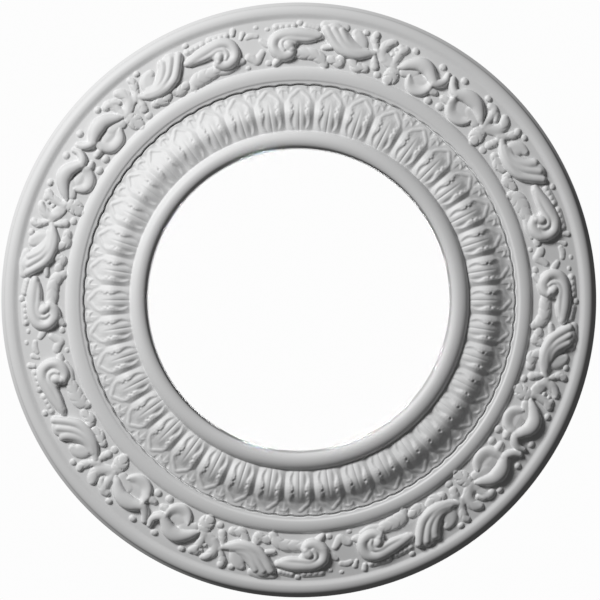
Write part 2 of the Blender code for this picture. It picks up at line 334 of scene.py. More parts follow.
def body_profile():
    """Radius and height round the body's section, from the inner crest by the back to it again."""
    turns = np.radians(np.linspace(90, 0, 11))[1:]
    lip = [
        (
            INNER_CREST[0] - (INNER_CREST[0] - HOLE) * math.cos(turn),
            HOLE_EDGE_HEIGHT + (INNER_CREST[1] - HOLE_EDGE_HEIGHT) * math.sin(turn),
        )
        for turn in turns
    ]
    inner = (INNER_CREST[0], section(INNER_CREST[0]))
    beside = (INNER_CREST[0] - FIRST_ROW, section(INNER_CREST[0] - FIRST_ROW))
    wall = [(HOLE, HOLE_EDGE_HEIGHT / 2), (HOLE, ARRIS), (HOLE + ARRIS, 0.0)]
    back = [((HOLE + RIM[0]) / 2, 0.0), (RIM[0] - ARRIS / 2, 0.0), (RIM[0], ARRIS / 2)]
    outer_roll = np.concatenate([
        np.linspace(RIM[0], RIM_SIDE[0] + 0.3, 8),
        np.linspace(RIM_SIDE[0] + 0.2, RIM_SIDE[0] - 0.8, 12),
        np.linspace(RIM_SIDE[0] - 1.2, OUTER_CREST[0] + 0.4, 16),
        [OUTER_CREST[0] + FIRST_ROW, OUTER_CREST[0]],
    ])
    rim = [(radius, section(radius)) for radius in outer_roll]
    seats = [
        (OUTER_CREST[0], FRIEZE_SEAT),
        (MIDDLE_CREST[0], FRIEZE_SEAT),
        (MIDDLE_CREST[0], LEAF_SEAT),
        (INNER_CREST[0], LEAF_SEAT),
    ]
    return [inner, beside, *lip, *wall, *back, *rim, *seats]


def finish_piece(name, mesh):
    """The piece's object, with its coat, riding with the casting that it is part of."""
    piece = bpy.data.objects.new(name, mesh)
    bpy.context.scene.collection.objects.link(piece)
    mesh.materials.append(PRIMER_COAT)
    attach(piece, "root")
    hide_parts("ceiling_rose")


turned = bmesh.new()
outline = [turned.verts.new((radius * MM, 0.0, -height * MM)) for radius, height in body_profile()]
edges = [turned.edges.new(pair) for pair in zip(outline, outline[1:] + outline[:1])]
bmesh.ops.spin(
    turned,
    geom=outline + edges,
    cent=(0.0, 0.0, 0.0),
    axis=(0.0, 0.0, 1.0),
    angle=math.tau,
    steps=BODY_STEPS,
    use_merge=True,
)
bmesh.ops.recalc_face_normals(turned, faces=turned.faces)
body_mesh = bpy.data.meshes.new("rose_body")
turned.to_mesh(body_mesh)
turned.free()
body_mesh.shade_smooth()
body_mesh.set_sharp_from_angle(angle=SHARP_BEND)
finish_piece("rose_body", body_mesh)

# The leaf band: forty leaves side by side with the outer half of the inner roll, down to the
# crest of the middle roll. Each leaf is a barrel with crinkled edges, split down its middle, and
# a rolled lip runs round its tip. It is drawn here as two halves to keep each mesh light.
LEAF_COUNT = 40
LEAF_PITCH = math.tau / LEAF_COUNT
LEAF_HALVES = 2
LEAF_COLUMNS = 44
SOFTNESS = 0.12
JOIN_POWER = 5


class Ridge:
    """A raised line of carving. Each point gives its bearing in degrees, its radius, its half
    width and its rise. full shapes the rounded section, dish hollows it along the middle, lean
    moves its crest to one side, and lobes notches its edges like a leaf's, slanting by skew."""

    def __init__(self, points, full=0.5, dish=0.0, lean=0.0, lobes=0, notch=0.22, vein=0.3, skew=0.6):
        rows = curve(points)
        turn = np.radians(rows[:, 0])
        self.x = rows[:, 1] * np.cos(turn)
        self.y = rows[:, 1] * np.sin(turn)
        self.width = np.maximum(rows[:, 2], 0.05)
        self.rise = rows[:, 3]
        self.full, self.dish, self.lean = full, dish, lean
        self.lobes, self.notch, self.vein, self.skew = lobes, notch, vein, skew

    def turned(self, angle, mirror=1):
        """The same ridge elsewhere on the ring, or its mirror image."""
        other = copy.copy(self)
        y = self.y * mirror
        other.x = self.x * math.cos(angle) - y * math.sin(angle)
        other.y = self.x * math.sin(angle) + y * math.cos(angle)
        other.lean = self.lean * mirror
        return other

    def heights(self, x, y):
        """Which of the places are near it, and its rise at those."""
        reach = self.width.max() * 1.3
        near = (x > self.x.min() - reach) & (x < self.x.max() + reach)
        near &= (y > self.y.min() - reach) & (y < self.y.max() + reach)
        place_x, place_y = x[near], y[near]
        nearest = np.full(place_x.shape, np.inf)
        offset, travel, rise = (np.zeros(place_x.shape) for _ in range(3))
        steps = np.hypot(np.diff(self.x), np.diff(self.y))
        travelled = np.concatenate([[0.0], np.cumsum(steps)])
        for i, step in enumerate(steps):
            step_x, step_y = self.x[i + 1] - self.x[i], self.y[i + 1] - self.y[i]
            from_x, from_y = place_x - self.x[i], place_y - self.y[i]
            share = np.clip((from_x * step_x + from_y * step_y) / step**2, 0, 1)
            from_x, from_y = from_x - step_x * share, from_y - step_y * share
            half_width = self.width[i] + (self.width[i + 1] - self.width[i]) * share
            out = np.hypot(from_x, from_y) / half_width
            closer = out < nearest
            nearest = np.where(closer, out, nearest)
            side = np.copysign(out, step_x * from_y - step_y * from_x)
            offset = np.where(closer, side, offset)
            travel = np.where(closer, travelled[i] + step * share, travel)
            rise = np.where(closer, self.rise[i] + (self.rise[i + 1] - self.rise[i]) * share, rise)
        out = np.abs(offset)
        if self.lobes:
            phase = travel / travelled[-1] * self.lobes - self.skew * out
            swell = np.abs(np.sin(math.pi * phase))
            out = out / (1 - self.notch * (1 - swell) ** 2)
            rise = rise * (1 - self.vein * (1 - swell) ** 3 * np.clip(2 * out - 0.3, 0, 1))
        leaned = np.where(offset < 0, -out, out) - self.lean * (1 - np.minimum(out, 1) ** 2)
        shape = (1 - np.clip(leaned, -1, 1) ** 2) ** self.full
        shape *= 1 - self.dish * np.exp(-((out / 0.5) ** 2))
        return near, rise * np.where(out < 1, shape, 0)


def raised(ridges, x, y):
    """Where ridges meet, the taller wins, with a soft join."""
    total = np.zeros(x.shape)
    for ridge in ridges:
        near, heights = ridge.heights(x, y)
        total[near] += heights**JOIN_POWER
    return total ** (1 / JOIN_POWER)


def softened(height, radius, angle):
    """The mean of a height round each place, as a casting rounds off its mould."""
    turn = SOFTNESS / radius
    places = [(0, 0), (SOFTNESS, 0), (-SOFTNESS, 0), (0, turn), (0, -turn)]
    return sum(height(radius + out, angle + aside) for out, aside in places) / len(places)


# One leaf's barrel at shares of the band's width: its rise, and the bearings from its axis where
# its top ends and where its flank meets the valley. Its tip lies on a low apron, whose wavy edge
# stands before a narrow slot. The ring of leaves is cast a little to one side of the rim's centre.
LEAF_WIDTH = GROOVE[0] - LEAF_FOOT[0]
BARREL_RISE = [(-0.03, 0.0), (0.06, 0.60), (0.15, 0.80), (0.25, 0.90), (0.36, 1.10), (0.46, 1.14),
               (0.56, 1.0), (0.65, 0.70), (0.74, 0.40), (0.83, 0.36), (0.92, 0.34), (1.0, 0.2)]
BARREL_TOP = [(-0.03, 1.8), (0.06, 2.75), (0.15, 3.1), (0.25, 3.2), (0.36, 3.2), (0.46, 3.2),
              (0.56, 3.2), (0.65, 3.1), (0.74, 2.35), (0.83, 1.15), (0.92, -0.2), (1.0, -1.0)]
BARREL_FOOT = [(-0.03, 3.8), (0.06, 4.65), (0.15, 4.75), (0.25, 4.75), (0.36, 4.75), (0.46, 4.75),
               (0.56, 4.75), (0.65, 4.55), (0.74, 3.5), (0.83, 2.2), (0.92, 0.8), (1.0, -0.4)]
APRON_RISE = 0.45
APRON_START = (0.60, 0.78)
APRON_EDGE = 110.65
WAVE_BEARING = 2.35
WAVE_DEPTH = 0.45
WAVE_WIDTH = 1.6
CREVICE_FLOOR = 8.3
CREVICE_WIDTH = 0.6
CREVICE_SLOPES = (0.25, 0.15)
SPLIT_DEPTH = 0.24
LEAF_SHIFT = (0.37, 0.23)
SHIFT_END = 113.0


def fallen(place, start, end):
    """One before the start, nothing after the end, and a smooth fall between them."""
    share = np.clip((place - start) / (end - start), 0, 1)
    return 1 - share**2 * (3 - 2 * share)


def leaf_ridge(points, **shape):
    """A ridge whose radii are given as shares of the leaf band's width."""
    placed = [(bearing, LEAF_FOOT[0] + share * LEAF_WIDTH, *rest) for bearing, share, *rest in points]
    return Ridge(placed, **shape)


def both_sides(ridges):
    """Ridges beside a leaf's axis, and their mirror images."""
    return ridges + [ridge.turned(0.0, mirror=-1) for ridge in ridges]


LEAF_DETAIL = both_sides([
    # The two swellings beside the split, and the crinkled fringe
    leaf_ridge([(0.8, 0.05, 1.5, 0.16), (0.8, 0.15, 1.9, 0.48), (0.8, 0.23, 1.9, 0.50),
                (0.75, 0.31, 1.6, 0.30), (0.6, 0.40, 1.2, 0.14), (0.5, 0.52, 1.0, 0.12),
                (0.35, 0.62, 1.0, 0.16), (0.1, 0.70, 0.9, 0.10)], full=0.9),
    leaf_ridge([(2.25, 0.05, 0.7, 0.14), (2.8, 0.13, 0.75, 0.20), (3.05, 0.22, 0.8, 0.20),
                (2.95, 0.29, 1.0, 0.26), (2.65, 0.36, 1.30, 0.36), (2.55, 0.43, 1.35, 0.38),
                (2.75, 0.49, 1.0, 0.34), (2.55, 0.55, 1.35, 0.38), (2.75, 0.60, 1.15, 0.34),
                (2.95, 0.65, 0.85, 0.26)], full=0.5, lobes=9, notch=0.24, vein=0.35, skew=0.0),
    # Three knobs in the fringe, on each side
    leaf_ridge([(2.25, 0.37, 0.5, 0.50), (2.2, 0.38, 0.5, 0.50)]),
    leaf_ridge([(2.2, 0.425, 0.5, 0.50), (2.25, 0.435, 0.5, 0.50)]),
    leaf_ridge([(2.3, 0.525, 0.5, 0.50), (2.3, 0.54, 0.5, 0.50)]),
    # The rolled lip round the tip
    leaf_ridge([(3.05, 0.65, 0.8, 0.22), (2.8, 0.71, 0.95, 0.30), (2.25, 0.768, 1.1, 0.36),
                (1.75, 0.80, 1.1, 0.38), (1.25, 0.835, 1.1, 0.38), (0.75, 0.875, 1.1, 0.38),
                (0.3, 0.902, 1.05, 0.38), (0.0, 0.906, 1.0, 0.38)], full=0.9),
])
LEAF_HOLLOW = [
    # The split, the shallow dip behind the lip, and the dips beside the swellings
    leaf_ridge([(0, 0.01, 0.40, 0.6 * SPLIT_DEPTH), (0, 0.12, 0.42, SPLIT_DEPTH),
                (0, 0.30, 0.42, SPLIT_DEPTH), (0, 0.42, 0.42, 0.9 * SPLIT_DEPTH),
                (0, 0.52, 0.38, 0.5 * SPLIT_DEPTH), (0, 0.60, 0.32, 0.05)], full=0.8),
    leaf_ridge([(0, 0.73, 1.7, 0.05), (0, 0.79, 1.4, 0.08), (0, 0.82, 1.0, 0.05)], full=0.8),
    *both_sides([
        leaf_ridge([(2.05, 0.12, 1.2, 0.10), (2.2, 0.20, 1.5, 0.20), (1.9, 0.30, 1.0, 0.12)], full=1.0),
        leaf_ridge([(1.55, 0.55, 0.8, 0.14), (1.7, 0.62, 0.9, 0.16), (1.5, 0.70, 0.9, 0.10)], full=1.0),
        # Small drilled holes in the fringe, and the pockets in the apron's edge
        leaf_ridge([(2.0, 0.475, 0.55, 0.30), (2.1, 0.48, 0.55, 0.30)], full=0.8),
        leaf_ridge([(2.15, 0.60, 0.55, 0.28), (2.25, 0.61, 0.55, 0.28)], full=0.8),
        leaf_ridge([(2.6, 0.90, 0.5, 0.15), (2.6, 0.93, 0.8, 0.32), (2.6, 0.955, 1.1, 0.45)], full=0.6),
    ]),
]
# The shell between two tips, with a raised line round its foot
SHELL = [
    leaf_ridge([(4.5, 0.74, 0.8, 0.14), (4.5, 0.80, 1.9, 0.26), (4.5, 0.86, 2.5, 0.32),
                (4.5, 0.875, 2.5, 0.32)], full=0.5),
    *both_sides([
        leaf_ridge([(3.25, 0.85, 0.6, 0.30), (3.6, 0.895, 0.8, 0.40), (4.5, 0.92, 0.8, 0.42)], full=0.8),
    ]),
]


def leaf_height(radius, angle):
    """Height of the leaf band: every place is turned to the leaf that it lies on. The shift to
    one side fades out at the band's edges, so that they meet the pieces next to them."""
    kept = fallen(radius, LEAF_FOOT[0], INNER_CREST[0]) * fallen(radius, SHIFT_END, MIDDLE_CREST[0])
    x = radius * np.cos(angle) - LEAF_SHIFT[0] * kept
    y = radius * np.sin(angle) - LEAF_SHIFT[1] * kept
    radius, angle = np.hypot(x, y), np.arctan2(y, x)
    turned_to_leaf = (angle + LEAF_PITCH / 2) % LEAF_PITCH - LEAF_PITCH / 2
    away = np.degrees(np.abs(turned_to_leaf))
    share = (radius - LEAF_FOOT[0]) / LEAF_WIDTH
    x, y = radius * np.cos(turned_to_leaf), radius * np.sin(turned_to_leaf)

    barrel = along(BARREL_RISE, share) * fallen(away, along(BARREL_TOP, share), along(BARREL_FOOT, share))
    apron = APRON_RISE * (1 - fallen(share, *APRON_START))
    detail = raised(LEAF_DETAIL + SHELL, x, y) - raised(LEAF_HOLLOW, x, y)
    bow = np.where(radius < LEAF_BOW[1][0], section(radius), along(LEAF_BOW, radius))
    leaf = bow + np.maximum(barrel, apron) + detail

    wave = WAVE_DEPTH * fallen(np.abs(away - WAVE_BEARING), 0.0, WAVE_WIDTH)
    beyond = radius - (APRON_EDGE - wave)
    strip = section(np.maximum(radius, MIDDLE_FOOT[0][0]))
    face = np.where(beyond < CREVICE_WIDTH / 2, leaf, strip)
    near_slope, far_slope = CREVICE_SLOPES
    crevice = fallen(-beyond, 0.0, near_slope) * fallen(beyond, CREVICE_WIDTH, CREVICE_WIDTH + far_slope)
    return face + (CREVICE_FLOOR - face) * crevice


def carved_band(name, radii, angles, height, seat):
    """A grid bent round part of the ring and raised, closed behind by walls and a flat seat."""
    columns, rows = len(angles) - 1, len(radii) - 1
    carved = bmesh.new()
    bmesh.ops.create_grid(carved, x_segments=columns, y_segments=rows, size=0.5)
    mesh = bpy.data.meshes.new(name)
    carved.to_mesh(mesh)
    places = np.empty(len(mesh.vertices) * 3)
    mesh.vertices.foreach_get("co", places)
    places = places.reshape(-1, 3)
    radius = np.asarray(radii)[np.rint((places[:, 1] + 0.5) * rows).astype(int)]
    angle = np.asarray(angles)[np.rint((places[:, 0] + 0.5) * columns).astype(int)]
    down = softened(height, radius, angle)
    bent = np.column_stack([radius * np.cos(angle), radius * np.sin(angle), -down]) * MM
    mesh.vertices.foreach_set("co", bent.ravel())
    carved.clear()
    carved.from_mesh(mesh)
    border = [edge for edge in carved.edges if edge.is_boundary]
    walls = bmesh.ops.extrude_edge_only(carved, edges=border)["geom"]
    for vert in walls:
        if isinstance(vert, bmesh.types.BMVert):
            vert.co.z = -seat * MM
    rear = [edge for edge in walls if isinstance(edge, bmesh.types.BMEdge) and edge.is_boundary]
    bmesh.ops.triangle_fill(carved, edges=rear, use_beauty=True)
    for edge in border + rear:
        edge.smooth = False
    bmesh.ops.recalc_face_normals(carved, faces=carved.faces)
    for face in carved.faces:
        face.smooth = True
    carved.to_mesh(mesh)
    carved.free()
    return mesh


def spread(start, end, count):
    """Even steps, with a very narrow one at each end so that the seam's slope is true."""
    steps = np.linspace(start, end, count + 1)
    edge = (end - start) / count * 0.1
    return np.concatenate([[start, start + edge], steps[1:-1], [end - edge, end]])


leaf_rows = np.concatenate([
    [INNER_CREST[0], INNER_CREST[0] + FIRST_ROW],
    np.linspace(INNER_CREST[0] + 0.6, LEAF_FOOT[0] - 0.5, 8),
    np.linspace(LEAF_FOOT[0] - 0.1, APRON_EDGE - 1.6, 62),
    np.linspace(APRON_EDGE - 1.35, APRON_EDGE + 1.05, 21),
    np.linspace(APRON_EDGE + 1.35, MIDDLE_CREST[0] - 0.5, 9),
    [MIDDLE_CREST[0] - FIRST_ROW, MIDDLE_CREST[0]],
])
half_turn = math.tau / LEAF_HALVES
for number in range(LEAF_HALVES):
    start = LEAF_PITCH / 2 + number * half_turn
    leaf_columns = spread(start, start + half_turn, LEAF_COLUMNS * LEAF_COUNT // LEAF_HALVES)
    name = f"leaf_band_{number + 1}"
    finish_piece(name, carved_band(name, leaf_rows, leaf_columns, leaf_height, LEAF_SEAT))

# The frieze: four units of scrolled acanthus between the middle roll's crest and the outer
# one's. A unit is two half units that nearly mirror each other, cast with the body as the
# leaves are. Each is drawn by bearing from where two scroll tips meet and share of the width.
FRIEZE_UNITS = 4
FIRST_UNIT_BEARING = -145.15
FRIEZE_COLUMNS = 670
ORNAMENT_START = 119.6
ORNAMENT_WIDTH = 24.9

# How full or flat a kind of ridge is, which way it leans, and how its edges are notched
RIBBON = {"full": 0.32, "lean": -0.1}
BOWL_RIM = {"full": 0.42, "lean": 0.5}
PLATE = {"full": 0.3}
DISC = {"full": 0.25}
RIB = {"full": 0.4}
CUPPED = {"dish": 0.12}
CRIMPED = {"lobes": 2, "notch": 0.12, "vein": 0.15}
THREE_LOBED = {"full": 0.4, "lobes": 3, "notch": 0.12}
ROUND_LEAF = {"full": 0.35, "lobes": 3, "notch": 0.14}
LEAFLET = {"full": 0.35, "lobes": 2, "notch": 0.15}
LONG_LEAF = {"full": 0.4, "lobes": 4, "notch": 0.1, "vein": 0.15}


def frieze_ridge(side, points, **shape):
    """A ridge of one half unit. The side is 1 or -1, the way in which its bearings run."""
    placed = [
        (side * bearing, ORNAMENT_START + share * ORNAMENT_WIDTH, *rest)
        for bearing, share, *rest in points
    ]
    if "lean" in shape:
        shape["lean"] *= side
    return Ridge(placed, **shape)


def bead(side, bearing, share, half_width, rise):
    """One small round bump."""
    return frieze_ridge(
        side,
        [(bearing - 0.1, share, half_width, rise), (bearing + 0.1, share, half_width, rise)],
    )


def bump_row(side, count, start, end, rise=1.2):
    """A row of small round bumps on a low strip, from one place to another."""
    places = [np.add(start, np.subtract(end, start) * i / (count - 1)) for i in range(count)]
    strip = frieze_ridge(side, [(*place, 1.9, 0.7 * rise) for place in places])
    return [strip] + [bead(side, *place, 1.25, rise) for place in places]


def left_half():
    """The half unit that runs one way round, as bearing, share, half width and rise."""
    side = 1
    return [
        # The S-scroll, the bowl that hangs under it and the lump beside them
        frieze_ridge(side, [(0.1, 0.76, 1.8, 2.2), (0.9, 0.63, 2.1, 2.9), (2.2, 0.55, 2.4, 3.4),
                            (3.4, 0.59, 2.9, 3.6), (4.6, 0.645, 3.7, 3.7), (6.0, 0.67, 4.1, 3.7),
                            (7.5, 0.655, 3.6, 3.5), (9.0, 0.58, 2.8, 3.0), (10.2, 0.50, 2.0, 2.5),
                            (11.0, 0.45, 1.2, 1.7)], **RIBBON),
        frieze_ridge(side, [(3.1, 0.46, 2.3, 2.4), (3.3, 0.34, 3.0, 2.2), (4.0, 0.23, 3.4, 2.0),
                            (5.0, 0.185, 3.7, 1.9), (6.3, 0.18, 3.6, 1.9), (7.3, 0.21, 3.1, 1.8),
                            (8.2, 0.28, 2.3, 1.7)], **BOWL_RIM),
        frieze_ridge(side, [(4.3, 0.37, 3.0, 1.0), (5.6, 0.36, 3.4, 1.0), (7.0, 0.38, 3.0, 1.0)], **PLATE),
        frieze_ridge(side, [(0.7, 0.32, 1.6, 1.6), (1.5, 0.325, 2.0, 1.8), (2.3, 0.32, 1.8, 1.8)]),
        frieze_ridge(side, [(7.2, 0.44, 2.2, 1.2), (8.4, 0.42, 3.2, 1.2), (10.0, 0.35, 2.5, 1.2)], **PLATE),
        # The palmette: lobes on a low web, a round leaf and a small one below
        frieze_ridge(side, [(11.5, 0.50, 2.6, 1.2), (13.0, 0.47, 2.8, 1.2), (14.6, 0.55, 2.6, 1.2),
                            (16.6, 0.58, 2.2, 1.2)], **PLATE),
        frieze_ridge(side, [(12.0, 0.42, 1.8, 1.2), (11.7, 0.56, 2.0, 1.3), (11.5, 0.70, 2.2, 1.5),
                            (10.9, 0.83, 2.5, 1.7), (10.0, 0.835, 2.0, 1.6)], **CRIMPED),
        frieze_ridge(side, [(11.2, 0.83, 2.2, 1.6), (12.2, 0.78, 1.9, 1.5), (12.8, 0.71, 1.5, 1.3)],
                     **CRIMPED),
        frieze_ridge(side, [(12.9, 0.44, 2.2, 1.2), (14.2, 0.56, 2.6, 1.3), (14.8, 0.68, 2.9, 1.5),
                            (14.5, 0.80, 3.1, 1.6), (13.8, 0.88, 2.0, 1.6)], **CRIMPED),
        frieze_ridge(side, [(16.0, 0.52, 1.6, 1.1), (16.8, 0.63, 1.8, 1.2), (17.5, 0.76, 2.1, 1.4),
                            (17.8, 0.86, 2.1, 1.5), (17.6, 0.92, 1.7, 1.4)], **THREE_LOBED),
        frieze_ridge(side, [(12.0, 0.40, 2.2, 1.2), (12.3, 0.28, 3.5, 1.5), (12.6, 0.17, 3.9, 1.5),
                            (12.9, 0.09, 2.8, 1.4)], **ROUND_LEAF),
        frieze_ridge(side, [(16.5, 0.46, 1.6, 1.1), (16.4, 0.36, 2.1, 1.3), (16.1, 0.26, 2.1, 1.3)],
                     **CRIMPED),
        # The acanthus wing: three ribs side by side on a plate, and a round lobe behind them
        frieze_ridge(side, [(18.6, 0.50, 1.5, 1.6), (20.6, 0.44, 2.6, 2.2), (23.0, 0.49, 4.2, 2.6),
                            (25.4, 0.64, 5.1, 2.7), (26.9, 0.76, 5.0, 2.6)], **PLATE),
        frieze_ridge(side, [(19.8, 0.52, 3.0, 1.4), (20.3, 0.65, 4.2, 1.5), (20.9, 0.75, 3.0, 1.5),
                            (21.9, 0.79, 2.0, 1.4)], **CUPPED),
        frieze_ridge(side, [(17.2, 0.52, 1.7, 1.5), (19.0, 0.42, 2.3, 2.2), (21.0, 0.35, 2.6, 2.7),
                            (23.4, 0.345, 2.6, 3.0), (25.6, 0.42, 2.4, 3.1), (27.0, 0.54, 2.2, 3.1),
                            (28.2, 0.70, 2.1, 3.0), (28.9, 0.82, 2.1, 2.9)], **RIB),
        frieze_ridge(side, [(18.8, 0.49, 1.7, 1.8), (21.0, 0.43, 1.8, 2.4), (23.0, 0.45, 1.9, 2.7),
                            (25.0, 0.56, 2.0, 2.9), (26.4, 0.73, 2.0, 2.9), (27.1, 0.84, 2.0, 2.8)]),
        frieze_ridge(side, [(19.4, 0.53, 1.7, 1.7), (21.5, 0.50, 1.8, 2.2), (23.2, 0.58, 2.1, 2.6),
                            (24.5, 0.72, 2.5, 2.9), (25.0, 0.83, 2.4, 2.8)]),
        # Two leaflets below the wing, and the long leaf beside them
        frieze_ridge(side, [(18.9, 0.21, 2.0, 1.5), (20.2, 0.20, 2.7, 1.5), (21.4, 0.17, 2.7, 1.4),
                            (22.6, 0.20, 2.0, 1.3)], **LEAFLET),
        frieze_ridge(side, [(24.4, 0.21, 2.0, 1.3), (25.3, 0.15, 2.8, 1.5), (26.8, 0.185, 2.4, 1.4),
                            (27.6, 0.20, 1.8, 1.3)], **LEAFLET),
        frieze_ridge(side, [(28.8, 0.07, 2.0, 1.3), (29.7, 0.15, 3.3, 1.6), (31.2, 0.19, 3.9, 1.7),
                            (33.0, 0.20, 3.5, 1.7), (34.8, 0.21, 2.8, 1.7), (36.2, 0.26, 2.0, 1.6)],
                     **LONG_LEAF),
        # The volute: two ribs that turn round a raised eye, on a disc, with rows of bumps
        frieze_ridge(side, [(30.4, 0.58, 2.0, 2.0), (33.0, 0.60, 2.9, 2.3), (35.5, 0.62, 3.4, 2.5),
                            (37.6, 0.52, 4.6, 2.7), (38.2, 0.45, 4.6, 2.7)], **DISC),
        frieze_ridge(side, [(29.8, 0.60, 1.8, 2.0), (31.0, 0.62, 2.2, 2.5), (34.0, 0.68, 2.7, 2.9),
                            (37.0, 0.73, 2.8, 3.2), (38.5, 0.73, 2.8, 3.3), (40.0, 0.66, 2.8, 3.3),
                            (40.7, 0.50, 2.7, 3.3), (40.3, 0.35, 2.7, 3.3), (39.0, 0.27, 2.7, 3.3),
                            (37.4, 0.26, 2.5, 3.2), (36.2, 0.33, 2.2, 3.2)], **RIB),
        frieze_ridge(side, [(31.0, 0.56, 1.4, 1.8), (33.0, 0.545, 1.6, 2.2), (35.0, 0.56, 1.7, 2.5),
                            (37.0, 0.61, 1.6, 2.7), (38.4, 0.58, 1.5, 2.8), (38.8, 0.47, 1.4, 2.8),
                            (38.3, 0.38, 1.3, 2.8)]),
        frieze_ridge(side, [(36.5, 0.39, 2.2, 3.6), (36.9, 0.45, 2.7, 4.0), (37.1, 0.48, 2.5, 4.0)]),
        frieze_ridge(side, [(40.6, 0.28, 2.0, 1.5), (41.4, 0.27, 2.1, 1.4), (42.0, 0.26, 1.5, 1.2)]),
        frieze_ridge(side, [(36.0, 0.17, 1.8, 1.2), (38.0, 0.15, 1.9, 1.2), (40.0, 0.19, 1.5, 1.0)]),
        *bump_row(side, 4, (30.9, 0.81), (34.3, 0.84)),
        *bump_row(side, 4, (36.1, 0.87), (39.7, 0.86)),
        # The small leaves and beads that close the unit
        frieze_ridge(side, [(41.1, 0.85, 1.3, 1.0), (41.4, 0.93, 1.5, 1.0)]),
        frieze_ridge(side, [(42.6, 0.72, 0.9, 0.7), (43.2, 0.82, 1.4, 0.8)]),
        frieze_ridge(side, [(43.9, 0.72, 1.3, 0.6), (45.0, 0.74, 1.5, 0.6)]),
        frieze_ridge(side, [(43.6, 0.30, 2.1, 1.0), (44.3, 0.26, 2.2, 1.0), (45.2, 0.18, 1.6, 0.9)]),
        bead(side, 2.35, 0.88, 1.7, 1.3),
        bead(side, 8.5, 0.92, 1.6, 1.3),
        bead(side, 1.25, 0.13, 1.9, 1.2),
        bead(side, 16.0, 0.10, 1.8, 0.8),
        bead(side, 19.45, 0.95, 1.5, 1.1),
        bead(side, 31.1, 0.95, 1.4, 1.0),
        bead(side, 42.9, 0.09, 1.1, 0.6),
    ]


